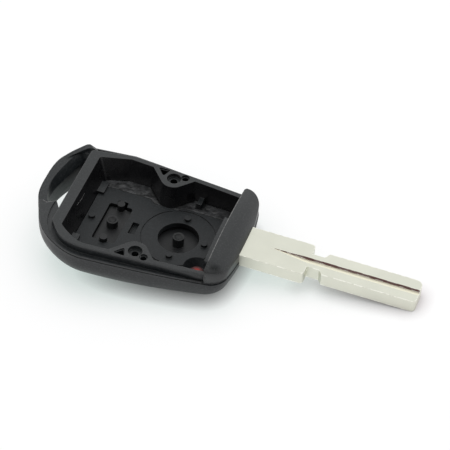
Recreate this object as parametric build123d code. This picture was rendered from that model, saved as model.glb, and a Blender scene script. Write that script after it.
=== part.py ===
from build123d import *
from math import cos, radians, sin
import os

# An opened remote-key head lying on its button face, with its metal blade fitted.
# Millimetres. While it is modelled, x runs towards the blade tip from the axis of
# the round button, y runs across the head, and z = 0 is the button face it lies on.
# At the end all pieces move together, so that the origin is the middle of the base.

# Longer than the whole part, for cuts that run right through it
beyond = 100.0

# Plan of the head: half widths at three places along it, and the two ends
nose_front = 14.9
nose_corner_x = 13.4
nose_corner_half = 12.62
waist_x = -2.5
waist_half = 14.75
widest_x = -15.5
widest_half = 15.9
tail_x = -30.95
tail_y = 2.9
nose_corner_r = 4.1
tail_corner = (-26.2, 14.7)
tail_corner_r = 1.0
near_shoulder = (-21.6, -14.3)
near_bend = (-26.9, -9.7)
near_flank = (-29.5, -4.3)
far_flank = (-29.6, 10.9)

# Directions in which those last points move when the outline is drawn in
shoulder_inward = (0.45, 0.89)
near_bend_inward = (0.82, 0.57)
near_flank_inward = (0.94, 0.34)
far_flank_inward = (0.9, -0.44)
tail_corner_inward = (0.75, -1.0)

# Heights
skin = 1.0
shelf_z = 3.4
floor_z = 3.5
parting_z = 6.5
lip_z = 6.95
channel_z = 6.6
rim_z = 8.4
crown_z = 11.2

# Outside rounding of the button face, which is larger at the nose
belly_r = 4.6
nose_belly_r = 6.0
base_land = 0.4
belly_levels = (4.4, 3.0, 1.6, 0.65, 0.12)
chin_factor = 1.15

# Walls and fits
tray_wall = 1.2
seat_gap = 0.05
slide_gap = 0.1
lip_width = 0.35
edge_step = 0.08
seam_h = 0.12
seam_depth = 0.16

# Broad rounded part of the upper shell's edge beside the key-ring slot
skirt_width = 2.5
skirt_shoulder_share = 0.1
skirt_bend_share = 0.6
skirt_end = ((-28.67, -3.57), (-27.75, -3.91), (-26.18, -2.84))
skirt_lip = (skirt_end[-1], (-26.36, -5.1), (-26.06, -7.35), (-24.67, -10.81), (-22.99, -12.73),
             (-20.42, -14.71))

# Cavity wall: outside half widths and how far its inside leans in
end_wall_x = -24.43
end_wall_near_y = -9.4
end_wall_far_y = 12.75
end_wall_bend = (2.6, -12.45)
end_wall_t = 2.38
end_wall_lean = 1.9
rim_wall = 1.15
rim_widest = 14.4
rim_waist = 13.5
rim_nose = 12.4
lean_widest = 1.55
lean_waist = 0.7
rim_edge_r = 0.22
end_corner_r = 0.6

# Fin that climbs along the edge at the far corner of the end wall
fin_start = (-29.7, 10.4)
fin_turn = 48.0
fin_w = 0.9
fin_rise_l = 6.0
fin_l = 7.0
fin_h = 1.27
fin_end_h = 0.45

# Nose collar
nose_back = 9.75
crown_radius = 66.0
crown_overlap = 0.005
nose_back_r = 0.9
nose_side_y = 13.15
brow_r = 4.1
nose_near_shoulder_r = 2.2
nose_far_shoulder_r = 0.3
nose_swing = 20.0
tongue_depth = 0.75
tongue_near = -10.2
tongue_far = 2.25
tongue_drop = 0.06
tongue_t = 1.6
tongue_root = 0.1
channel_end = 0.1
channel_end_r = 0.35

# Bosses for the cover pegs
peg_x = -5.39
peg_y = 11.3
peg_head_r = 1.5
peg_head_depth = 0.9
peg_r = 0.76
peg_depth = 4.2
pin_x = -3.23
pin_y = 12.3
pin_r = 0.9
pin_tip_r = 0.66
pin_step = 0.5
pin_depth = 2.6
boss_x = -5.5
boss_tip = 7.35
boss_slope = 1.1
boss_r = 2.7
boss_draft = 0.85
pocket_corners = ((-9.65, 13.35), (-7.75, 11.2), (-6.8, 13.4))
pocket_r = 0.3
pocket_depth = 2.6
pocket_step = 0.35
pocket_shelf = 0.16

# Button carrier plate
plate_left = -20.1
plate_right = 9.4
plate_far = 8.3
plate_near = -10.2
plate_gap = 0.05
plate_notch_r = 4.75
plate_corner_r = 1.6
ring_r = 7.86
ring_groove = 0.25
ring_depth = 0.2
nub_circle = 5.65
nub_r = 0.7
nub_h = 0.65
tail_nub = (-18.85, -1.1)
recess_x = -9.55
recess_y = -1.0
recess_w = 1.45
recess_l = 3.4
recess_r = 0.2
recess_depth = 0.95

# Round button
round_well_r = 4.32
round_face_r = 3.9
face_lift = 0.15
flange_over = 0.45
flange_t = 0.55
travel = 0.6
post_r = 1.2
dimple_r = 0.88
dimple_depth = 0.42
round_post_top = 3.9

# Oblong button
oblong_x = -14.2
oblong_y = -1.25
oblong_w = 5.1
oblong_l = 10.85
oblong_r = 0.5
oblong_end_over = 1.05
oblong_top = 2.7
oblong_post_top = 4.55
guide_r = 0.83
guide_pitch = 5.1
guide_top = 4.4
guide_notch = 2.3
guide_notch_shift = 0.5
guide_notch_r = 0.4

# Indicator lens
lens_x = 6.4
lens_y = -6.4
lens_r = 1.5
lens_edge_r = 0.5
lens_stem_r = 1.1
lens_top = 2.55
dish_r = 2.9
dish_root = 0.3
dish_depth = 1.6

# Key-ring slot
slot_band = 1.5
slot_over = 0.1
slot_leans = ((0.0, 0.0), (2.1, 0.88), (2.2, 0.7), (5.4, 0.9))
slot_far_lean = 1.9
slot_tail_y = 2.0
slot_flank = (-28.6, 8.8)
slot_far_x = -27.4
slot_far_y = 13.0
slot_far_r = 0.8
slot_near_end = ((-25.15, -4.0), (-26.1, -2.5), (-27.8, -3.3))
slot_near_y = -5.0
band_end = ((-26.35, 13.2), (-25.95, 18.0))

# Ledges at the foot of the end wall that hold the carrier down, and the far stop block
ledge_t = 0.55
ledge_reach = 1.25
far_ledge = (7.4, 3.2)
near_ledge = (-8.45, 2.1)
stop_x = 0.95
stop_w = 1.0
stop_near_y = 9.6
stop_h = 1.35

# Glue between the carrier and the far wall
glue_t = 0.14
glue_near_y = 7.5
glue_gap = 0.1

# Blade
blade_y = -0.12
blade_bottom = 5.64
blade_t = 2.94
blade_w = 8.6
track_w = 6.08
neck_y = -0.27
neck_w = 3.76
shoulder_x = 28.3
shoulder_r = 0.75
neck_l = 2.6
neck_ramp_l = 0.85
blade_tip = 51.65
tip_far_r = 1.5
tip_near_r = 0.9
tang_l = 4.5
tang_gap = 0.02
groove_far_y = 0.42
groove_near_y = -1.1
groove_root_y = 0.1
groove_depth = 0.35
groove_start = 19.8
groove_full = 27.6


def moved(point, direction, amount):
    return (point[0] + direction[0] * amount, point[1] + direction[1] * amount)


def round_inset(radius, depth):
    """How far a quarter-round edge has drawn in at a depth into its rounding."""
    depth = max(depth, 0.0)
    return radius - (radius ** 2 - depth ** 2) ** 0.5


def plan_face(inset=0.0, chin=0.0, skirt=0.0, nose_side=0.0):
    """Outline of the head from above, drawn in all round, at the nose and beside the slot."""
    corner_x = nose_corner_x - chin
    corner_y = nose_corner_half - inset - nose_side
    waist_y = waist_half - inset
    widest_y = widest_half - inset
    tail = (tail_x + inset + skirt, tail_y)
    shoulder = moved(near_shoulder, shoulder_inward, inset + skirt_shoulder_share * skirt)
    bend = moved(near_bend, near_bend_inward, inset + skirt_bend_share * skirt)
    flank = moved(near_flank, near_flank_inward, inset + skirt)
    far_side = moved(far_flank, far_flank_inward, inset)
    tail_end = moved(tail_corner, tail_corner_inward, inset)
    with BuildSketch() as plan:
        with BuildLine():
            front = ThreePointArc((corner_x, -corner_y), (nose_front - chin, 0), (corner_x, corner_y))
            near = ThreePointArc(front @ 0, (waist_x, -waist_y), (widest_x, -widest_y))
            near_tail = Spline(near @ 1, shoulder, bend, flank, tail, tangents=[(-1, -0.02), (0, 1)])
            loop = Spline(near_tail @ 1, far_side, tail_end, tangents=[(0, 1), (1, 1.0)])
            far_tail = Line(loop @ 1, (widest_x, widest_y))
            ThreePointArc(far_tail @ 1, (waist_x, waist_y), front @ 1)
        make_face()
        nose_corners = plan.vertices().sort_by(Axis.X)[-2:]
        fillet(nose_corners, nose_corner_r)
        fillet(plan.vertices().sort_by_distance(tail_end)[0], tail_corner_r)
    return plan.sketch.face()


def wall_face(inset_end, inset_widest, inset_waist, inset_nose, nose_x):
    """Outline of the cavity wall, drawn in by its own amount at each station."""
    end_x = end_wall_x + inset_end
    near_end = (end_x, end_wall_near_y - 0.2 * inset_end)
    near_corner = (end_x + end_wall_bend[0] - 0.1 * inset_end, end_wall_bend[1] + 0.3 * inset_end)
    far_end = (end_x, end_wall_far_y - 0.42 * inset_end - 0.3 * inset_widest)
    with BuildSketch() as plan:
        with BuildLine():
            bend = Spline((widest_x, -rim_widest + inset_widest), near_corner, near_end,
                          tangents=[(-1, 0.0), (-1, 1.05)])
            end = Line(bend @ 1, far_end)
            corner = Line(end @ 1, (widest_x, rim_widest - inset_widest))
            far = ThreePointArc(corner @ 1, (waist_x, rim_waist - inset_waist),
                                (nose_x, rim_nose - inset_nose))
            nose = Line(far @ 1, (nose_x, -rim_nose + inset_nose))
            ThreePointArc(nose @ 1, (waist_x, -rim_waist + inset_waist), bend @ 0)
        make_face()
        fillet(plan.vertices().sort_by_distance(far_end)[0], end_corner_r)
    return plan.sketch.face()


def rim_top_face(nose_x):
    return wall_face(end_wall_t, rim_wall, rim_wall, rim_wall, nose_x)


def rim_floor_face(nose_x):
    return wall_face(end_wall_t + end_wall_lean, rim_wall + lean_widest, rim_wall + lean_waist,
                     rim_wall, nose_x)


def boss_solid(side):
    """Wedge-shaped boss on one long wall, wider at the floor than at the rim."""
    faces = []
    root = rim_waist - rim_wall / 2
    for z, grow in ((rim_z, 0.0), (shelf_z, boss_draft)):
        reach = grow * (1 + boss_slope ** 2) ** 0.5
        tip = boss_tip - reach
        half = (root - tip) / boss_slope
        with BuildSketch(Plane.XY.offset(z)) as wedge:
            with BuildLine():
                Polyline((boss_x - half, side * root), (boss_x, side * tip), (boss_x + half, side * root),
                         close=True)
            make_face()
            fillet(wedge.vertices().sort_by_distance((boss_x, side * tip, z))[0], boss_r)
        faces.append(wedge.sketch.face())
    return loft(faces, ruled=True)


def slot_face(lean=0.0):
    """Key-ring slot between the tail band and the end wall; lean thickens the band."""
    far_lean = slot_far_lean * lean
    far_corner = (slot_far_x + far_lean, slot_far_y)
    with BuildSketch() as slot:
        with BuildLine():
            band = Spline(slot_near_end[-1], (tail_x + slot_band + lean, slot_tail_y),
                          moved(slot_flank, (1, 0), far_lean), far_corner, tangents=[(-0.6, 1), (0.35, 1)])
            Polyline(band @ 1, (end_wall_x, slot_far_y), (end_wall_x, slot_near_y), *slot_near_end)
        make_face()
        fillet(slot.vertices().sort_by_distance(far_corner)[0], slot_far_r)
    return slot.sketch.face()


def slot_solid():
    """Slot whose band side leans inwards in two stages as it goes down."""
    top = parting_z + slot_over
    sections = [Pos(0, 0, top - depth) * slot_face(lean) for depth, lean in slot_leans]
    lowest = Pos(0, 0, -1) * extrude(slot_face(slot_leans[-1][1]), top - slot_leans[-1][0] + 1)
    return loft(sections, ruled=True) + lowest


def tail_cut_face():
    """Plan of what the upper shell leaves bare: the key-ring slot and the tail band."""
    with BuildSketch() as cut:
        with BuildLine():
            Polyline((-beyond, skirt_end[0][1]), *skirt_end, slot_near_end[0], (end_wall_x, slot_near_y),
                     (end_wall_x, slot_far_y), *band_end, (-beyond, band_end[-1][1]), close=True)
        make_face()
    return cut.sketch.face()


def seat_face(inset):
    """Plan of the recess in the tray that the upper shell sits in."""
    return plan_face(inset, inset) - tail_cut_face()


def plate_face(gap=0.0):
    """Outline of the carrier plate, notched round the two bosses."""
    with BuildSketch() as plan:
        with Locations(((plate_left + plate_right) / 2, (plate_near + plate_far) / 2)):
            Rectangle(plate_right - plate_left + 2 * gap, plate_far - plate_near + 2 * gap)
        with Locations((boss_x, peg_y), (boss_x, -peg_y)):
            Circle(plate_notch_r - gap, mode=Mode.SUBTRACT)
        fillet(plan.vertices().sort_by(Axis.X)[:2], plate_corner_r)
    return plan.sketch.face()


def rounded_pad(x, y, w, h, r, z, amount):
    with BuildPart() as pad:
        with BuildSketch(Plane.XY.offset(z)):
            with Locations((x, y)):
                RectangleRounded(w, h, r)
        extrude(amount=amount)
    return pad.part


def rod(x, y, r, z_low, z_high):
    return Pos(x, y, (z_low + z_high) / 2) * Cylinder(r, z_high - z_low)


def dimpled_post(x, y, z_low, z_high):
    """Post whose top is dished, where it presses on a switch."""
    ball_r = (dimple_r ** 2 + dimple_depth ** 2) / (2 * dimple_depth)
    post = rod(x, y, post_r, z_low, z_high)
    return post - Pos(x, y, z_high + ball_r - dimple_depth) * Sphere(ball_r)


def blade_body(grow=0.0):
    """Tang and shoulder of the blade as one bar, for the blade and for its pocket."""
    back = nose_front - tang_l - grow
    length = shoulder_x - back
    return Pos(back + length / 2, blade_y, blade_bottom + blade_t / 2) * Box(
        length, blade_w + 2 * grow, blade_t + 2 * grow)


def belly_sections():
    """Plans of the tray from the parting line down to the flat it lies on."""
    sections = []
    for z in (parting_z, *belly_levels):
        inset = round_inset(belly_r, belly_r - z)
        nose_inset = round_inset(nose_belly_r, nose_belly_r - z)
        sections.append(Pos(0, 0, z) * plan_face(inset, nose_inset * chin_factor, 0, nose_inset - inset))
    base_inset = belly_r - base_land
    base_chin = (nose_belly_r - base_land) * chin_factor
    sections.append(plan_face(base_inset, base_chin, 0, nose_belly_r - belly_r))
    return sections


def button_wells(z_low, z_high, gap):
    """The spaces that the two buttons' flanges move in."""
    round_space = rod(0, 0, round_well_r + flange_over + gap, z_low, z_high)
    oblong_space = rounded_pad(oblong_x, oblong_y, oblong_w + 2 * (flange_over + gap),
                               oblong_l + 2 * (oblong_end_over + gap), oblong_r + flange_over + gap,
                               z_low, z_high - z_low)
    return round_space + oblong_space


def corner_fin():
    """Fin along the edge at the far corner, which climbs from the band and drops to the rim."""
    with BuildSketch() as ridge:
        add(plan_face(edge_step))
        add(plan_face(edge_step + fin_w), mode=Mode.SUBTRACT)
    strip = Pos(0, 0, parting_z) * extrude(ridge.sketch, fin_h)
    ahead = (cos(radians(fin_turn)), sin(radians(fin_turn)), 0)
    across = (ahead[1], -ahead[0], 0)
    with BuildSketch(Plane((*fin_start, parting_z), x_dir=ahead, z_dir=across)) as side_view:
        with BuildLine():
            Polyline((0, 0), (fin_rise_l, fin_h), (fin_l, fin_end_h), (fin_l, 0), close=True)
        make_face()
    return strip & extrude(side_view.sketch.face(), widest_half / 2, both=True)


def make_front_shell():
    """Shallow dished tray with the button openings and the tail band."""
    tray = loft(belly_sections())
    tray -= Pos(0, 0, shelf_z) * extrude(seat_face(tray_wall), parting_z)
    tray -= Pos(0, 0, skin) * extrude(plate_face(plate_gap), parting_z)
    tray -= slot_solid()
    tray -= rod(0, 0, round_face_r + slide_gap, -1, parting_z)
    tray -= rounded_pad(oblong_x, oblong_y, oblong_w - 2 * flange_over + 2 * slide_gap,
                        oblong_l - 2 * flange_over + 2 * slide_gap, oblong_r, -1, parting_z)
    tray -= rod(lens_x, lens_y, lens_stem_r + seat_gap, -1, parting_z)
    tray += corner_fin() & extrude(tail_cut_face(), 2 * parting_z)
    return tray - blade_body(tang_gap)


def crown_sweep(profile):
    """Turns a side profile of the nose about the low axis that its crown curves round."""
    axis = Axis((0, 0, crown_z - crown_radius), (1, 0, 0))
    return revolve(profile.rotate(axis, -nose_swing), axis, 2 * nose_swing)


def nose_front_view():
    """The nose seen from the blade: a hair above the crown, and rounded at its shoulders."""
    radius = crown_radius + crown_overlap
    edge_z = crown_z - crown_radius + (radius ** 2 - nose_side_y ** 2) ** 0.5
    with BuildSketch(Plane.YZ) as view:
        with BuildLine():
            top = ThreePointArc((-nose_side_y, edge_z), (0, crown_z + crown_overlap), (nose_side_y, edge_z))
            Polyline(top @ 1, (nose_side_y, 0), (-nose_side_y, 0), top @ 0)
        make_face()
        fillet(view.vertices().sort_by_distance((0, -nose_side_y, edge_z))[0], nose_near_shoulder_r)
        fillet(view.vertices().sort_by_distance((0, nose_side_y, edge_z))[0], nose_far_shoulder_r)
    return view.sketch.face()


def nose_solid():
    """Crowned collar that the blade comes out of."""
    with BuildSketch() as plan:
        add(plan_face(edge_step, edge_step))
        with Locations((nose_back - beyond / 2, 0)):
            Rectangle(beyond, beyond, mode=Mode.SUBTRACT)
    block = Pos(0, 0, parting_z + seam_h) * extrude(plan.sketch, 2 * crown_z)
    for side in (-1, 1):
        block -= nose_corner_cutter(side)
    block &= extrude(nose_front_view(), beyond)
    with BuildSketch(Plane.XZ) as side_view:
        with BuildLine():
            top = Line((nose_back - 1, crown_z), (nose_front - brow_r, crown_z))
            front = CenterArc((nose_front - brow_r, crown_z - brow_r), brow_r, 0, 90)
            Polyline((nose_front, crown_z - brow_r), (nose_front, 0), (nose_back - 1, 0), top @ 0)
        make_face()
    return block & crown_sweep(side_view.sketch.face())


def nose_corner_cutter(side):
    """What rounds off a back corner of the nose above the level of the lip."""
    centre_y = side * (nose_side_y - nose_back_r)
    block = Pos(nose_back, centre_y + side * nose_back_r, crown_z) * Box(
        2 * nose_back_r, 2 * nose_back_r, 2 * (crown_z - lip_z))
    return block - rod(nose_back + nose_back_r, centre_y, nose_back_r, 0, 2 * crown_z)


def tongue_solid():
    """Tongue along the back of the nose that the cover slides under."""
    with BuildSketch(Plane.XZ) as side_view:
        with Locations((nose_back - tongue_depth / 2 + tongue_root, crown_z - tongue_drop - tongue_t / 2)):
            Rectangle(tongue_depth + 2 * tongue_root, tongue_t)
    width = tongue_far - tongue_near
    return crown_sweep(side_view.sketch.face()) & (
        Pos(nose_back, (tongue_far + tongue_near) / 2, crown_z) * Box(crown_z, width, 2 * crown_z))


def pocket_cutter(side, z_low, z_high, shrink):
    """Three-cornered moulding pocket in a boss."""
    with BuildSketch(Plane.XY.offset(z_low)) as pocket:
        with BuildLine():
            Polyline(*[(x, side * y) for x, y in pocket_corners], close=True)
        make_face()
        offset(amount=-shrink)
        fillet(pocket.vertices(), pocket_r - shrink / 2)
    return extrude(pocket.sketch.face(), z_high - z_low, dir=(0, 0, 1))


def boss_cutters(side):
    """Holes in one boss: a stepped peg hole, a stepped pin hole and a pocket."""
    y = side * peg_y
    small_y = side * pin_y
    return [
        rod(peg_x, y, peg_head_r, rim_z - peg_head_depth, rim_z + 1),
        rod(peg_x, y, peg_r, rim_z - peg_depth, rim_z),
        rod(pin_x, small_y, pin_r, rim_z - pin_step, rim_z + 1),
        rod(pin_x, small_y, pin_tip_r, rim_z - pin_depth, rim_z),
        pocket_cutter(side, rim_z - pocket_step, rim_z + 1, 0),
        pocket_cutter(side, rim_z - pocket_depth, rim_z - pocket_step / 2, pocket_shelf),
    ]


def flange_solid():
    """Edge of the upper shell, level all round but falling away beside the slot."""
    low = parting_z + seam_h
    sections = []
    for angle in (0, 30, 60, 90):
        rise = (lip_z - low) * sin(radians(angle))
        skirt = skirt_width * (1 - cos(radians(angle)))
        sections.append(Pos(0, 0, low + rise) * plan_face(edge_step, edge_step, skirt))
    rounded = loft(sections, ruled=True)
    rounded -= Pos(nose_back + beyond / 2, 0, low) * Box(beyond, beyond, parting_z)
    seam = edge_step + seam_depth
    rounded += Pos(0, 0, parting_z) * extrude(plan_face(seam, seam), seam_h)
    return rounded - extrude(tail_cut_face(), 2 * parting_z)


def channel_face():
    """Plan of the channel that the cover's edge drops into."""
    end_x = nose_back - channel_end
    with BuildSketch() as channel:
        add(plan_face(edge_step + lip_width))
        with Locations((end_x + beyond / 2, 0)):
            Rectangle(beyond, beyond, mode=Mode.SUBTRACT)
        fillet(channel.vertices().sort_by(Axis.X)[-2:], channel_end_r)
        with BuildLine():
            edge = Spline(*skirt_lip, tangents=[(-0.3, -1), (1, -0.5)])
            Polyline(edge @ 1, (skirt_lip[-1][0], -beyond), (-beyond, -beyond), (-beyond, skirt_lip[0][1]),
                     edge @ 0)
        make_face(mode=Mode.SUBTRACT)
    return channel.sketch.face()


def cavity_solid():
    """Space inside the wall, narrower at the floor, with the two bosses left standing."""
    floor = Pos(0, 0, shelf_z) * rim_floor_face(nose_back)
    mouth = Pos(0, 0, rim_z) * rim_top_face(nose_back)
    space = loft([floor, mouth], ruled=True)
    space += extrude(mouth, crown_z)
    for side in (-1, 1):
        space -= boss_solid(side)
    return space


def wall_solid():
    """Wall of the cavity above the parting line, its outer edge rounded over."""
    sections = [Pos(0, 0, parting_z) * wall_face(0, 0, 0, 0, nose_back + 1)]
    for angle in (0, 45, 90):
        inset = rim_edge_r * (1 - cos(radians(angle)))
        height = rim_z - rim_edge_r * (1 - sin(radians(angle)))
        sections.append(Pos(0, 0, height) * wall_face(inset, inset, inset, inset, nose_back + 1))
    return loft(sections, ruled=True)


def end_wall_ledge(centre_y, width):
    foot_x = end_wall_x + end_wall_t + end_wall_lean
    root_x = end_wall_x + end_wall_t
    reach_x = foot_x + ledge_reach
    bottom = floor_z + seat_gap
    return Pos((root_x + reach_x) / 2, centre_y, bottom + ledge_t / 2) * Box(
        reach_x - root_x, width, ledge_t)


def make_upper_shell():
    """Frame with the cavity wall, the cover's channel, the bosses and the nose."""
    body = Pos(0, 0, shelf_z) * extrude(seat_face(tray_wall + seat_gap), parting_z - shelf_z)
    body += flange_solid()
    body -= Pos(0, 0, channel_z) * extrude(channel_face(), rim_z)
    body += corner_fin() - extrude(tail_cut_face(), 2 * parting_z)
    body += wall_solid()
    body += nose_solid()
    body -= cavity_solid()
    body += tongue_solid()
    body += end_wall_ledge(*far_ledge)
    body += end_wall_ledge(*near_ledge)
    stop_l = rim_waist - rim_wall - stop_near_y
    body += Pos(stop_x, stop_near_y + stop_l / 2, shelf_z + stop_h / 2) * Box(stop_w, stop_l, stop_h)
    for cutter in boss_cutters(-1) + boss_cutters(1):
        body -= cutter
    return body - blade_body(tang_gap)


def make_button_carrier():
    """Matte plate glued in the tray, with the wells that the buttons stand in."""
    plate = Pos(0, 0, skin) * extrude(plate_face(), floor_z - skin)
    plate -= button_wells(skin, skin + flange_t + travel + slide_gap, slide_gap)
    plate -= rod(0, 0, round_well_r, 0, floor_z + 1)
    plate -= rounded_pad(oblong_x, oblong_y, oblong_w, oblong_l, oblong_r, 0, floor_z + 1)
    notch_y = oblong_y + guide_pitch + guide_notch_shift
    near_guide = oblong_y - guide_pitch
    plate -= rounded_pad(oblong_x, notch_y, guide_notch, guide_notch, guide_notch_r, 0, floor_z + 1)
    plate -= rod(oblong_x, near_guide, guide_r + slide_gap, 0, floor_z + 1)
    groove = rod(0, 0, ring_r + ring_groove / 2, floor_z - ring_depth, floor_z + 1)
    plate -= groove - rod(0, 0, ring_r - ring_groove / 2, 0, floor_z + 2)
    for turn in (-90, 0, 90):
        plate += Rot(0, 0, turn) * rod(nub_circle, 0, nub_r, skin + flange_t, floor_z + nub_h)
    plate += rod(*tail_nub, nub_r, skin + flange_t, floor_z + nub_h)
    recess_z = floor_z - recess_depth
    plate -= rounded_pad(recess_x, recess_y, recess_w, recess_l, recess_r, recess_z, recess_depth + 1)
    plate -= Pos(lens_x, lens_y, floor_z - dish_depth / 2) * Cone(lens_r + dish_root, dish_r, dish_depth)
    return plate - rod(lens_x, lens_y, lens_r + seat_gap, 0, floor_z)


def make_round_button():
    """Round button: face, retaining flange and switch post in one moulding."""
    button = rod(0, 0, round_face_r, face_lift, skin + flange_t)
    button += rod(0, 0, round_well_r + flange_over, skin + seat_gap, skin + flange_t)
    return button + dimpled_post(0, 0, skin, round_post_top)


def make_oblong_button():
    """Long button: face, flange, raised back, switch post and two guide posts."""
    low = skin + seat_gap
    button = rounded_pad(oblong_x, oblong_y, oblong_w - 2 * flange_over, oblong_l - 2 * flange_over,
                         oblong_r - slide_gap, face_lift, skin)
    button += rounded_pad(oblong_x, oblong_y, oblong_w + 2 * flange_over, oblong_l + 2 * oblong_end_over,
                          oblong_r + flange_over, low, flange_t - seat_gap)
    button += rounded_pad(oblong_x, oblong_y, oblong_w - 2 * slide_gap, oblong_l - 2 * slide_gap,
                          oblong_r - slide_gap, low, oblong_top - low)
    for end in (-1, 1):
        button += rod(oblong_x, oblong_y + end * guide_pitch, guide_r, low, guide_top)
    return button + dimpled_post(oblong_x, oblong_y, low, oblong_post_top)


def make_lens():
    """Red light pipe: a domed head on a stem that reaches the outside face."""
    lens = rod(lens_x, lens_y, lens_stem_r, face_lift, skin + lens_edge_r)
    lens += rod(lens_x, lens_y, lens_r, skin, lens_top)
    return fillet(lens.edges().group_by(Axis.Z)[-1], lens_edge_r)


def make_glue():
    """Bead of glue on the tray's shelf between the plate and the far wall."""
    with BuildSketch() as bead:
        add(rim_floor_face(nose_back))
        with Locations((0, glue_near_y - beyond / 2)):
            Rectangle(2 * beyond, beyond, mode=Mode.SUBTRACT)
        add(plate_face(plate_gap), mode=Mode.SUBTRACT)
    strip = Pos(0, 0, shelf_z) * extrude(bead.sketch, glue_t)
    strip -= Pos(stop_x, stop_near_y + rim_waist / 2, shelf_z) * Box(stop_w + 2 * glue_gap, rim_waist, stop_h)
    return strip - boss_solid(1)


def groove_cutter():
    """Shallow three-sided bar along the blade that runs out towards the head."""
    top = blade_bottom + blade_t
    rows = []
    for x, share in ((groove_start, 0.02), (groove_full, 1.0), (blade_tip + 1, 1.0)):
        with BuildSketch(Plane((x, 0, top), x_dir=(0, 1, 0), z_dir=(1, 0, 0))) as section:
            with BuildLine():
                near = groove_root_y + (groove_near_y - groove_root_y) * share
                far = groove_root_y + (groove_far_y - groove_root_y) * share
                Polyline((near, 0), (groove_root_y, -groove_depth * share), (far, 0),
                         (far, groove_depth), (near, groove_depth), close=True)
            make_face()
        rows.append(section.sketch.face())
    return loft(rows, ruled=True)


def make_blade():
    """Blade with its tang, the waist behind the shoulder, and the long groove."""
    bar = blade_body()
    bar = fillet(bar.edges().filter_by(Axis.Z).sort_by(Axis.X)[-2:], shoulder_r)
    track_l = blade_tip - shoulder_x + 1
    track = Pos(blade_tip - track_l / 2, blade_y, blade_bottom + blade_t / 2) * Box(
        track_l, track_w, blade_t)
    tip_edges = track.edges().filter_by(Axis.Z).sort_by(Axis.X)[-2:].sort_by(Axis.Y)
    track = fillet(tip_edges[:1], tip_near_r)
    far_tip = (blade_tip, blade_y + track_w / 2, blade_bottom)
    track = fillet(track.edges().filter_by(Axis.Z).sort_by_distance(far_tip)[0], tip_far_r)
    blade = bar + track
    neck_end = shoulder_x + neck_l
    for side in (-1, 1):
        neck_side = neck_y + side * neck_w / 2
        outside = side * blade_w
        with BuildSketch(Plane.XY.offset(blade_bottom - 1)) as notch:
            with BuildLine():
                Polyline((shoulder_x, neck_side), (neck_end, neck_side),
                         (neck_end + neck_ramp_l, blade_y + side * track_w / 2), (neck_end + neck_ramp_l, outside),
                         (shoulder_x, outside), close=True)
            make_face()
        blade -= extrude(notch.sketch, blade_t + 2)
    return blade - groove_cutter()


front_shell = make_front_shell()
upper_shell = make_upper_shell()
pieces = {
    "front_shell": front_shell,
    "upper_shell": upper_shell,
    "button_carrier": make_button_carrier(),
    "round_button": make_round_button(),
    "oblong_button": make_oblong_button(),
    "indicator_lens": make_lens(),
    "glue_bead": make_glue(),
    "key_blade": make_blade(),
}
centre_x = (blade_tip + tail_x) / 2
os.makedirs("parts", exist_ok=True)
for name, piece in pieces.items():
    export_step(Pos(-centre_x, 0, 0) * piece, f"parts/{name}.step")
print("origin is", centre_x, "mm towards the tip from the round button")
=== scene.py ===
import bmesh
import bpy
from math import cos, radians, sin
from mathutils import Matrix, Vector, noise
from mathutils.bvhtree import BVHTree


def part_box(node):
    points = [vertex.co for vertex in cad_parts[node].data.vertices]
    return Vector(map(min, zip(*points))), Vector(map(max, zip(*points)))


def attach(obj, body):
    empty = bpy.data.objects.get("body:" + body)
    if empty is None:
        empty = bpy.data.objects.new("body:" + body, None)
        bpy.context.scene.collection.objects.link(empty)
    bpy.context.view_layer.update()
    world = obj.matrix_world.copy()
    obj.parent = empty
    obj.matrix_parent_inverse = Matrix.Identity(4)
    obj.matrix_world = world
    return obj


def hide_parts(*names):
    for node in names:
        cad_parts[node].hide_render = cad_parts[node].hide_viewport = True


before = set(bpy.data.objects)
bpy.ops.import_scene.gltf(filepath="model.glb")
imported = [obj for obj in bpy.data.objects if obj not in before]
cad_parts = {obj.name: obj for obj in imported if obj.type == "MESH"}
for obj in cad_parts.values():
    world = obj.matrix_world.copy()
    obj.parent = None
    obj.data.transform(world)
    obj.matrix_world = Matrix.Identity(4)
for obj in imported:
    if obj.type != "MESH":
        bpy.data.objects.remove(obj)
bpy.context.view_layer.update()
bpy.context.scene.view_settings.view_transform = "Standard"

# Lower tray of the head: one black ABS moulding with a fine spark-eroded grain on its outside,
# which forms the button face and the band round the key-ring slot. It lies on the table.
MM = 0.001
FROM_ABOVE = Vector((1, 1, 0))
BEVEL_SAMPLES = 6
BEND_OF_AN_EDGE = (0.995, 0.85)


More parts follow.
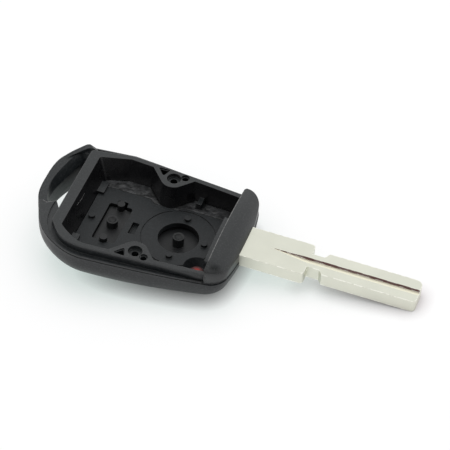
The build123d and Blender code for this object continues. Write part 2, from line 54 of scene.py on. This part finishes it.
class Shade:
    """One output of a shader node. Sums on it add Math nodes, and node() adds any other node."""

    def __init__(self, tree, socket=None):
        self.tree = tree
        self.socket = socket

    def node(self, kind, settings=None, sockets=None, output=0):
        made = self.tree.nodes.new("ShaderNode" + kind)
        for name, value in (settings or {}).items():
            setattr(made, name, value)
        for name, value in (sockets or {}).items():
            if isinstance(value, Shade):
                self.tree.links.new(value.socket, made.inputs[name])
            else:
                made.inputs[name].default_value = value
        return Shade(self.tree, made.outputs[output])

    def maths(self, operation, first, second):
        return self.node("Math", {"operation": operation}, {0: first, 1: second})

    def __add__(self, other):
        return self.maths("ADD", self, other)

    def __mul__(self, other):
        return self.maths("MULTIPLY", self, other)

    def __sub__(self, other):
        return self.maths("SUBTRACT", self, other)

    def __rsub__(self, other):
        return self.maths("SUBTRACT", other, self)

    __radd__ = __add__
    __rmul__ = __mul__

    def larger(self, other):
        return self.maths("MAXIMUM", self, other)

    def smaller(self, other):
        return self.maths("MINIMUM", self, other)

    def vectors(self, operation, first, second, output=0):
        return self.node("VectorMath", {"operation": operation}, {0: first, 1: second}, output)

    def part(self, axis):
        """Its X, Y or Z, as axis says."""
        return self.node("SeparateXYZ", {}, {"Vector": self}, axis)

    def place(self):
        """Position on the piece, in metres, which moves with the piece."""
        return self.node("TexCoord", output="Object")

    def facing(self, direction):
        """1 on faces of the piece that look that way, 0 on those square to it, -1 on those behind."""
        return self.vectors("DOT_PRODUCT", self.node("TexCoord", output="Normal"), direction, "Value")

    def gap_to(self, start, end, plane):
        """Distance in metres to a straight line on the piece, seen along the axis that plane leaves out."""
        along = (end - start) * plane
        offset = self.vectors("MULTIPLY", self.vectors("SUBTRACT", self.place(), start), plane)
        share = self.vectors("DOT_PRODUCT", offset, along / along.length_squared, "Value").ramp(0, 1)
        foot = self.node("VectorMath", {"operation": "SCALE"}, {0: along, "Scale": share})
        return self.vectors("DISTANCE", offset, foot, "Value")

    def gap_to_upright(self, middle):
        """Distance in metres to an upright line through that point."""
        flat_place = self.vectors("MULTIPLY", self.place(), FROM_ABOVE)
        return self.vectors("DISTANCE", flat_place, middle * FROM_ABOVE, "Value")

    def softened(self, reach):
        """Surface normal, blended over edges nearer than that."""
        return self.node("Bevel", {"samples": BEVEL_SAMPLES}, {"Radius": reach})

    def edges(self, reach):
        """1 along sharp edges, fading to 0 that far from them."""
        flat = self.node("NewGeometry", output="Normal")
        return self.vectors("DOT_PRODUCT", self.softened(reach), flat, "Value").ramp(*BEND_OF_AN_EDGE)

    def speckle(self, size, stretch=(1, 1, 1), detail=3):
        """Cloudy noise whose lumps are about that many metres across, longer where stretched."""
        scaled = self.node("Mapping", {}, {"Vector": self.place(), "Scale": stretch})
        return self.node("TexNoise", {}, {"Vector": scaled, "Scale": 1 / size, "Detail": detail})

    def ramp(self, low, high):
        """0 at low, 1 at high, straight between them and level beyond. Low may be the larger one."""
        return self.node("MapRange", {}, {"Value": self, "From Min": low, "From Max": high})

    def between(self, first, second):
        """First colour where this is 0, second where it is 1."""
        return self.node("Mix", {"data_type": "RGBA"}, {0: self, 6: first, 7: second}, output=2)

    def raised(self, depth, reach):
        """Surface normal of a relief that is this many metres deep, with edges softened over that reach."""
        return self.node("Bump", {}, {"Height": self, "Distance": depth, "Normal": self.softened(reach)})

    def drives(self, shader, socket):
        """Links it to that socket of the shader."""
        self.tree.links.new(self.socket, shader.inputs[socket])


def new_finish(name):
    """A material, a shade on which its nodes start, and the shader in it that the sockets are set on."""
    made = bpy.data.materials.new(name)
    made.use_nodes = True
    return made, Shade(made.node_tree), made.node_tree.nodes["Principled BSDF"]


def route(*points):
    """Those points, given in millimetres, as places on the piece."""
    return [Vector(point) * MM for point in points]


# Pale broken lines, used for scuffs and for painted highlights along edges
SCUFF_AND_HIGHLIGHT_TONE = (0.16, 0.16, 0.155, 1)
MARK_PIECE = 0.5 * MM
MARK_BREAKS = (0.3, 0.55)
MARK_CORE = 0.3
MARK_TURN = (0.1, 0.4)


def scuff_and_highlight(shade, points, plane, way, width):
    """1 on a fine broken pale line through those points, on faces that look roughly that way. It marks a
    scuff, and also stands for a painted highlight along an edge.
    """
    gap = shade.gap_to(points[0], points[1], plane)
    for start, end in zip(points[1:], points[2:]):
        gap = gap.smaller(shade.gap_to(start, end, plane))
    broken = shade.speckle(MARK_PIECE).ramp(*MARK_BREAKS)
    return gap.ramp(width, MARK_CORE * width) * broken * shade.facing(way).ramp(*MARK_TURN)


CLOUD = 5 * MM
CLOUD_SPREAD = (0.35, 0.65)
DEEP_GRAIN = 0.022 * MM
PEAK_SPREAD = (0.5, 0.7)
PEAK_TONE = (0.026, 0.0285, 0.031, 1)
CAVITY_MIDDLE = Vector((-16, 0, 0)) * MM
CAVITY_TAIL = (-34.9 * MM, -34.8 * MM)
INSIDE_SPREAD = (0.5 * MM, 3 * MM)
# Painted shade on the walls that look into the cavity
INSIDE_SHADE_TONE = (0.004, 0.004, 0.0046, 1)
INSIDE_POLISH = 0.14
INSIDE_SMOOTHING = 0.7
# Paler edges: partly wear, partly a painted highlight
WEAR_AND_HIGHLIGHT_REACH = 0.2 * MM
WEAR_AND_HIGHLIGHT_PATCH = 1.5 * MM
WEAR_AND_HIGHLIGHT_SPREAD = (0.3, 0.6)
WORN_AND_HIGHLIGHT_TONE = (0.034, 0.035, 0.036, 1)
EDGE_ROUNDING = 0.12 * MM


def moulded_plastic(name, dark, light, gloss, dull, shine, grain, depth, marks=(), reshape=None):
    """Pigmented plastic, slightly clouded in tone and gloss, with a fine even grain whose peaks are rubbed
    paler the deeper it is, and with edges painted paler, partly as wear and partly as a painted highlight.
    Walls that look into the cavity are smoother, as the core of the mould is polished, and painted darker:
    painted shade. Marks are pale lines on it, scuffs and painted highlights, and reshape changes its relief."""
    made, shade, shader = new_finish(name)
    cloud = shade.speckle(CLOUD).ramp(*CLOUD_SPREAD)
    grit = shade.speckle(grain, detail=2)
    inwards = shade.facing(shade.vectors("SUBTRACT", CAVITY_MIDDLE, shade.place())).ramp(*INSIDE_SPREAD)
    inside = inwards * shade.place().part("X").ramp(*CAVITY_TAIL)
    worn_and_highlit = shade.edges(WEAR_AND_HIGHLIGHT_REACH) * shade.speckle(WEAR_AND_HIGHLIGHT_PATCH).ramp(*WEAR_AND_HIGHLIGHT_SPREAD) * (1 - inside)
    tone = cloud.between((*dark, 1), (*light, 1))
    tone = (grit.ramp(*PEAK_SPREAD) * (depth / DEEP_GRAIN)).between(tone, PEAK_TONE)
    # Walls that look into the cavity are painted darker: painted shade
    tone = inside.between(tone, INSIDE_SHADE_TONE)
    # Edges painted paler, partly as wear and partly as a painted highlight
    tone = worn_and_highlit.between(tone, WORN_AND_HIGHLIGHT_TONE)
    for mark in marks:
        tone = scuff_and_highlight(shade, *mark).between(tone, SCUFF_AND_HIGHLIGHT_TONE)
    roughness = cloud * (dull - gloss) + gloss - inside * INSIDE_POLISH
    relief = grit * (1 - inside * INSIDE_SMOOTHING)
    rounding = EDGE_ROUNDING
    if reshape is not None:
        roughness, relief, rounding = reshape(shade, roughness, relief, depth)
    tone.drives(shader, "Base Color")
    roughness.drives(shader, "Roughness")
    relief.raised(depth, rounding).drives(shader, "Normal")
    shader.inputs["Specular IOR Level"].default_value = shine
    return made


def wear(node, finish):
    """Puts a finish on a piece whose shape is right as it is."""
    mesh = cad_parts[node].data
    mesh.materials.clear()
    mesh.materials.append(finish)


# Pale line beside the ring slot, on the edge at the end of the skirt: a painted highlight
SKIRT_END_HIGHLIGHT = (route((-39.02, -3.57, 0), (-38.1, -3.91, 0), (-36.53, -2.84, 0)), FROM_ABOVE, (0, 0, 1), 0.16 * MM)
wear("front_shell", moulded_plastic(
    "shell_plastic", dark=(0.004, 0.006, 0.007), light=(0.0065, 0.009, 0.0104), gloss=0.4, dull=0.48,
    shine=0.5, grain=0.34 * MM, depth=0.022 * MM, marks=[SKIRT_END_HIGHLIGHT]))

# Upper frame of the head: a second black moulding glued on the tray, with the cavity wall,
# the two bosses and the crowned nose. It is a little glossier than the tray.
FROM_NOSE = Vector((0, 1, 1))
# Pale line along the back edge of the nose: a painted highlight
NOSE_BACK_HIGHLIGHT = (route((-0.5, 11.8, 0), (-0.5, -10, 0)), FROM_ABOVE, (0, 0, 1), 0.1 * MM)
SCRATCH = (route((0, -2.6, 7.2), (0, -0.66, 6.9), (0, 1.33, 6.96)), FROM_NOSE, (1, 0, 0), 0.1 * MM)
NOSE_BACK = (-0.7 * MM, -0.5 * MM)
DOME_SIDE = (-8.8 * MM, -13.15 * MM)
DOME_MIDDLE = Vector((1.6, -12.6, 9.5)) * MM
DOME_SPREAD = (7 * MM, 3.5 * MM)
DOME_FALL = 2.4 * MM
DOME_ROUNDING = 2 * MM
DOME_POLISH = 0.28
DOME_SMOOTHING = 0.8


def domed_end(shade, roughness, relief, depth):
    """Near end of the nose, a softer dome that handling has polished. Towards the side its relief falls
    away, its grain fades and its edges are rounder."""
    share = shade.place().part("Y").ramp(*DOME_SIDE) * shade.place().part("X").ramp(*NOSE_BACK)
    near = shade.vectors("DISTANCE", shade.place(), DOME_MIDDLE, "Value").ramp(*DOME_SPREAD)
    fallen = relief * (1 - share * DOME_SMOOTHING) - share * share * (DOME_FALL / depth)
    return roughness - share * DOME_POLISH, fallen, near * DOME_ROUNDING + EDGE_ROUNDING


wear("upper_shell", moulded_plastic(
    "frame_plastic", dark=(0.003, 0.005, 0.006), light=(0.006, 0.0085, 0.0095), gloss=0.34, dull=0.44,
    shine=0.6, grain=0.32 * MM, depth=0.014 * MM, marks=[SKIRT_END_HIGHLIGHT, NOSE_BACK_HIGHLIGHT, SCRATCH], reshape=domed_end))

# Button carrier: a flat black plate, the most matt of the mouldings, set in the floor of the tray.
wear("button_carrier", moulded_plastic(
    "carrier_plastic", dark=(0.0075, 0.0092, 0.0104), light=(0.0115, 0.0136, 0.015), gloss=0.44, dull=0.54,
    shine=0.36, grain=0.34 * MM, depth=0.01 * MM))

# Round and oblong buttons: separate black mouldings that stand in the carrier's wells,
# each with posts that reach up to press the switches.
button_finish = moulded_plastic(
    "button_plastic", dark=(0.0075, 0.008, 0.0087), light=(0.0105, 0.011, 0.0117), gloss=0.4, dull=0.5,
    shine=0.38, grain=0.25 * MM, depth=0.008 * MM)
wear("round_button", button_finish)
wear("oblong_button", button_finish)

# Indicator lens: a small plug of clear red acrylic, pressed into the plate beside the nose.
# It is redder at its core, where light comes through it.
LENS_RIM_TONE = (0.07, 0.018, 0.018, 1)
LENS_CORE_TONE = (0.36, 0.022, 0.012, 1)
LENS_CORE = (0.9 * MM, 0.4 * MM)
LENS_ROUGHNESS = 0.22
LENS_SHINE = 0.3
lens_finish, lens_shade, lens_shader = new_finish("red_lens")
lens_low, lens_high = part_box("indicator_lens")
lens_core = lens_shade.gap_to_upright((lens_low + lens_high) / 2).ramp(*LENS_CORE)
lens_core.between(LENS_RIM_TONE, LENS_CORE_TONE).drives(lens_shader, "Base Color")
lens_shader.inputs["Roughness"].default_value = LENS_ROUGHNESS
lens_shader.inputs["Specular IOR Level"].default_value = LENS_SHINE
wear("indicator_lens", lens_finish)

# Glue: a thin uneven smear of dried adhesive along the shelf below the far wall. It is built
# as a lumpy skin on the flat bead that holds its place.
GLUE_GRID = 0.14 * MM
GLUE_LUMP = 1.3 * MM
GLUE_ROUGHENING = 0.8
GLUE_FINER = 2.0
GLUE_OCTAVES = 3
GLUE_LEVEL = 0.55
GLUE_SWING = 0.6
GLUE_LEAST = 0.12
glue_low, glue_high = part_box("glue_bead")


def glue_share(x, y):
    """How much of the bead's height the glue fills there."""
    lump = noise.fractal(Vector((x, y, 0)) / GLUE_LUMP, GLUE_ROUGHENING, GLUE_FINER, GLUE_OCTAVES)
    return min(max(GLUE_LEVEL + GLUE_SWING * lump, GLUE_LEAST), 1.0)


def glue_skin():
    """Square cells wherever the bead lies below, with uneven tops and closed sides."""
    tree = BVHTree.FromObject(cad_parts["glue_bead"], bpy.context.evaluated_depsgraph_get())
    columns = int((glue_high.x - glue_low.x) / GLUE_GRID)
    rows = int((glue_high.y - glue_low.y) / GLUE_GRID)
    mesh = bmesh.new()
    corners = {}
    for i in range(columns + 1):
        for j in range(rows + 1):
            x = glue_low.x + i * GLUE_GRID
            y = glue_low.y + j * GLUE_GRID
            hit = tree.ray_cast(Vector((x, y, glue_high.z + MM)), Vector((0, 0, -1)))[0]
            if hit is not None:
                height = glue_low.z + (glue_high.z - glue_low.z) * glue_share(x, y)
                corners[i, j] = (mesh.verts.new((x, y, height)), mesh.verts.new((x, y, glue_low.z)))
    cells = [(i, j) for i, j in corners
             if all((i + right, j + up) in corners for right, up in ((1, 0), (1, 1), (0, 1)))]
    kept = set(cells)
    for i, j in cells:
        tops, feet = zip(*(corners[corner] for corner in ((i, j), (i + 1, j), (i + 1, j + 1), (i, j + 1))))
        mesh.faces.new(tops)
        mesh.faces.new(reversed(feet))
        for side, neighbour in enumerate(((i, j - 1), (i + 1, j), (i, j + 1), (i - 1, j))):
            if neighbour not in kept:
                end = (side + 1) % 4
                mesh.faces.new((feet[side], feet[end], tops[end], tops[side]))
    loose = [vert for vert in mesh.verts if not vert.link_faces]
    bmesh.ops.delete(mesh, geom=loose, context="VERTS")
    for face in mesh.faces:
        face.smooth = True
    made = bpy.data.meshes.new("dried_glue")
    mesh.to_mesh(made)
    return bpy.data.objects.new("dried_glue", made)


GLUE_PATCH = 1.6 * MM
GLUE_SPREAD = (0.42, 0.66)
GLUE_THIN_TONE = (0.008, 0.0085, 0.009, 1)
GLUE_THICK_TONE = (0.05, 0.051, 0.053, 1)
GLUE_ROUGHNESS = 0.42
GLUE_GLOSS = 0.2
GLUE_WRINKLE = 0.6 * MM
GLUE_WRINKLE_DEPTH = 0.05 * MM
glue_finish, glue_shade, glue_shader = new_finish("dried_glue")
pale = glue_shade.speckle(GLUE_PATCH).ramp(*GLUE_SPREAD)
pale.between(GLUE_THIN_TONE, GLUE_THICK_TONE).drives(glue_shader, "Base Color")
(GLUE_ROUGHNESS - pale * GLUE_GLOSS).drives(glue_shader, "Roughness")
glue_shade.speckle(GLUE_WRINKLE).raised(GLUE_WRINKLE_DEPTH, EDGE_ROUNDING).drives(glue_shader, "Normal")
glue = glue_skin()
bpy.context.scene.collection.objects.link(glue)
glue.data.materials.append(glue_finish)
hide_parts("glue_bead")
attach(glue, "shell")

# Blade: a flat bar of warm grey nickel silver, blanked and milled, with a satin skin that has
# faint drawing lines along it. Its tang is moulded into the nose.
METAL_DARK = (0.72, 0.728, 0.635, 1)
METAL_LIGHT = (0.77, 0.778, 0.68, 1)
TARNISH = 6 * MM
TARNISH_SPREAD = (0.3, 0.7)
DRAWN_LINE = 0.12 * MM
DRAWN_STRETCH = (0.06, 1, 1)
DRAWN_SHARE = 0.3
DRAWN_DULLNESS = 0.14
METAL_ROUGHNESS = 0.36
blade_finish, blade_shade, blade_shader = new_finish("blade_metal")
tarnish = blade_shade.speckle(TARNISH).ramp(*TARNISH_SPREAD)
drawn = blade_shade.speckle(DRAWN_LINE, DRAWN_STRETCH)

# The steep flank of the groove is painted dark brown, a painted reflection of shade, and its other flank
# pale, a painted highlight. The top edges carry broken painted glints, and the milling left a torn grain on
# the sides
SHADED_FLANK = (0, -0.738, 0.675)
SHADED_FLANK_TURN = (0.95, 0.99)
FLANK_SHADE_TONE = (0.16, 0.095, 0.085, 1)
HIGHLIT_FLANK = (0, 0.28, 0.96)
HIGHLIT_FLANK_TURN = (0.985, 0.996)
FLANK_HIGHLIGHT_TONE = (0.98, 0.96, 0.78, 1)
# Broken bright dashes on the top edges: painted glints
GLINT_REACH = 0.4 * MM
GLINT_PIECE = 0.6 * MM
GLINT_STRETCH = (0.5, 1, 1)
GLINT_BREAKS = (0.48, 0.54)
GLINT_TONE = (1, 1, 0.92, 1)
UPRIGHT_TURN = (0.2, 0.8)
TORN_GRAIN = 0.3 * MM
BLADE_GRAIN_DEPTH = 0.016 * MM
BLADE_ROUNDING = 0.02 * MM
flank_shade = blade_shade.facing(SHADED_FLANK).ramp(*SHADED_FLANK_TURN)
flank_highlight = blade_shade.facing(HIGHLIT_FLANK).ramp(*HIGHLIT_FLANK_TURN)
broken = blade_shade.speckle(GLINT_PIECE, GLINT_STRETCH, detail=2).ramp(*GLINT_BREAKS)
edge_glints = blade_shade.edges(GLINT_REACH) * broken
sides = 1 - blade_shade.facing((0, 0, 1)).ramp(*UPRIGHT_TURN)
torn = sides * blade_shade.speckle(TORN_GRAIN)
# Painted reflection of shade on the steep flank of the groove
metal = flank_shade.between(tarnish.between(METAL_DARK, METAL_LIGHT), FLANK_SHADE_TONE)
# Painted highlight on the other flank of the groove, and painted glints on the top edges
metal = edge_glints.between(flank_highlight.between(metal, FLANK_HIGHLIGHT_TONE), GLINT_TONE)
metal.drives(blade_shader, "Base Color")
(drawn * DRAWN_DULLNESS + METAL_ROUGHNESS).drives(blade_shader, "Roughness")
(drawn * DRAWN_SHARE + torn).raised(BLADE_GRAIN_DEPTH, BLADE_ROUNDING).drives(blade_shader, "Normal")
blade_shader.inputs["Metallic"].default_value = 1.0
wear("key_blade", blade_finish)

# Table: a white top that shows white and keeps the key's soft shadow. The key balances forward,
# so the table touches the front of its base and the underside of the blade's tip.
TABLE_REACH = 1.2
blade_low, blade_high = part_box("key_blade")
tray_corners = [vert.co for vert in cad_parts["front_shell"].data.vertices]
slope = max((blade_low.z - corner.z) / (blade_high.x - corner.x) for corner in tray_corners)
table_plan = [(-TABLE_REACH, -TABLE_REACH), (TABLE_REACH, -TABLE_REACH),
              (TABLE_REACH, TABLE_REACH), (-TABLE_REACH, TABLE_REACH)]
table_mesh = bpy.data.meshes.new("table")
table_mesh.from_pydata([(x, y, blade_low.z + slope * (x - blade_high.x)) for x, y in table_plan],
                       [], [(0, 1, 2, 3)])
table = bpy.data.objects.new("table", table_mesh)
bpy.context.scene.collection.objects.link(table)


def in_sight(shade):
    """1 where the camera sees a thing, by itself or in gloss or glass, and 0 where it only sends light."""
    direct, mirrored, through = [shade.node("LightPath", output=kind)
                                 for kind in ("Is Camera Ray", "Is Glossy Ray", "Is Transmission Ray")]
    return direct.larger(mirrored).larger(through)


# Where it is seen, the table's tone is lifted to white, except close to the key, where the lift fades into a
# painted contact shadow
TABLE_TONE = (0.5, 0.41, 0.44, 1)
TABLE_ROUGHNESS = 0.9
TABLE_LIFT = (0.475, 0.57, 0.54, 1)
NO_LIFT = (0, 0, 0, 1)
CONTACT_REACH = 3.6 * MM
CONTACT_SAMPLES = 8
table_finish, table_shade, table_shader = new_finish("table_white")
table_shader.inputs["Base Color"].default_value = TABLE_TONE
table_shader.inputs["Roughness"].default_value = TABLE_ROUGHNESS
table_shader.inputs["Specular IOR Level"].default_value = 0.0
clear = table_shade.node("AmbientOcclusion", {"samples": CONTACT_SAMPLES}, {"Distance": CONTACT_REACH}, "AO")
glow = table_shade.node("Emission", {}, {"Color": clear.between(NO_LIFT, TABLE_LIFT), "Strength": 1.0})
unlit = table_shade.node("Emission", {}, {"Strength": 0.0})
lift = table_shade.node("MixShader", {}, {0: in_sight(table_shade), 1: unlit, 2: glow})
plain = Shade(table_finish.node_tree, table_shader.outputs[0])
surface = table_shade.node("AddShader", {}, {0: lift, 1: plain})
surface.drives(table_finish.node_tree.nodes["Material Output"], "Surface")
table.data.materials.append(table_finish)

# Light: a white room with more light from overhead than from the side, and a soft lamp above. In
# reflections the near side of the room is dimmer.
LEVEL_LIGHT = (0.35, 0.35, 0.35, 1)
OVERHEAD_LIGHT = (1.15, 1.15, 1.15, 1)
SEEN_WHITE = (1, 1, 1, 1)
DIM_TONE = (0.3, 0.29, 0.28, 1)
DIM_SIDE = (0.2, -0.69, 0.7)
DIM_SPREAD = (0.84, 0.97)
room = bpy.data.worlds.new("room")
room.use_nodes = True
bpy.context.scene.world = room
room_shade = Shade(room.node_tree)
heading = room_shade.node("TexCoord", output="Generated")
dim = room_shade.vectors("DOT_PRODUCT", heading, DIM_SIDE, "Value").ramp(*DIM_SPREAD)
light = heading.part("Z").ramp(0, 1).between(LEVEL_LIGHT, OVERHEAD_LIGHT)
sight = dim.between(SEEN_WHITE, DIM_TONE)
in_sight(room_shade).between(light, sight).drives(room.node_tree.nodes["Background"], "Color")

LAMP_DIRECTION = Vector((-0.15, 0.3, 1))
LAMP_DISTANCE = 0.6
LAMP_SIZE = 0.5
LAMP_WATTS = 1.0
lamp_light = bpy.data.lights.new("overhead_lamp", "AREA")
lamp_light.size = LAMP_SIZE
lamp_light.energy = LAMP_WATTS
lamp = bpy.data.objects.new("overhead_lamp", lamp_light)
lamp.location = LAMP_DIRECTION.normalized() * LAMP_DISTANCE
lamp.rotation_mode = "QUATERNION"
lamp.rotation_quaternion = lamp.location.to_track_quat("Z", "Y")
lamp.visible_glossy = False
bpy.context.scene.collection.objects.link(lamp)

# Camera: it looks down on the key from the near side, slightly from the right.
CAMERA_TURN = radians(16.276)
CAMERA_HEIGHT = radians(45.693)
CAMERA_ROLL = radians(4.593)
CAMERA_DISTANCE = 496.0 * MM
CAMERA_ACROSS = 9.121 * MM
CAMERA_UP = 2.839 * MM
CAMERA_AIM = Vector((-9.8, 0, 3.5)) * MM
CAMERA_LENS = 191.79
CAMERA_NEAREST = 10 * MM

level = Vector((cos(CAMERA_TURN), sin(CAMERA_TURN), 0))
outward = Vector((sin(CAMERA_TURN), -cos(CAMERA_TURN), 0))
back = outward * cos(CAMERA_HEIGHT) + Vector((0, 0, 1)) * sin(CAMERA_HEIGHT)
upright = back.cross(level)
across = level * cos(CAMERA_ROLL) + upright * sin(CAMERA_ROLL)
above = upright * cos(CAMERA_ROLL) - level * sin(CAMERA_ROLL)
stand = CAMERA_AIM + across * CAMERA_ACROSS + above * CAMERA_UP + back * CAMERA_DISTANCE
camera = bpy.data.objects.new("camera", bpy.data.cameras.new("camera"))
camera.data.lens = CAMERA_LENS
camera.data.clip_start = CAMERA_NEAREST
camera.matrix_world = Matrix.Translation(stand) @ Matrix((across, above, back)).transposed().to_4x4()
bpy.context.scene.collection.objects.link(camera)
bpy.context.scene.camera = camera
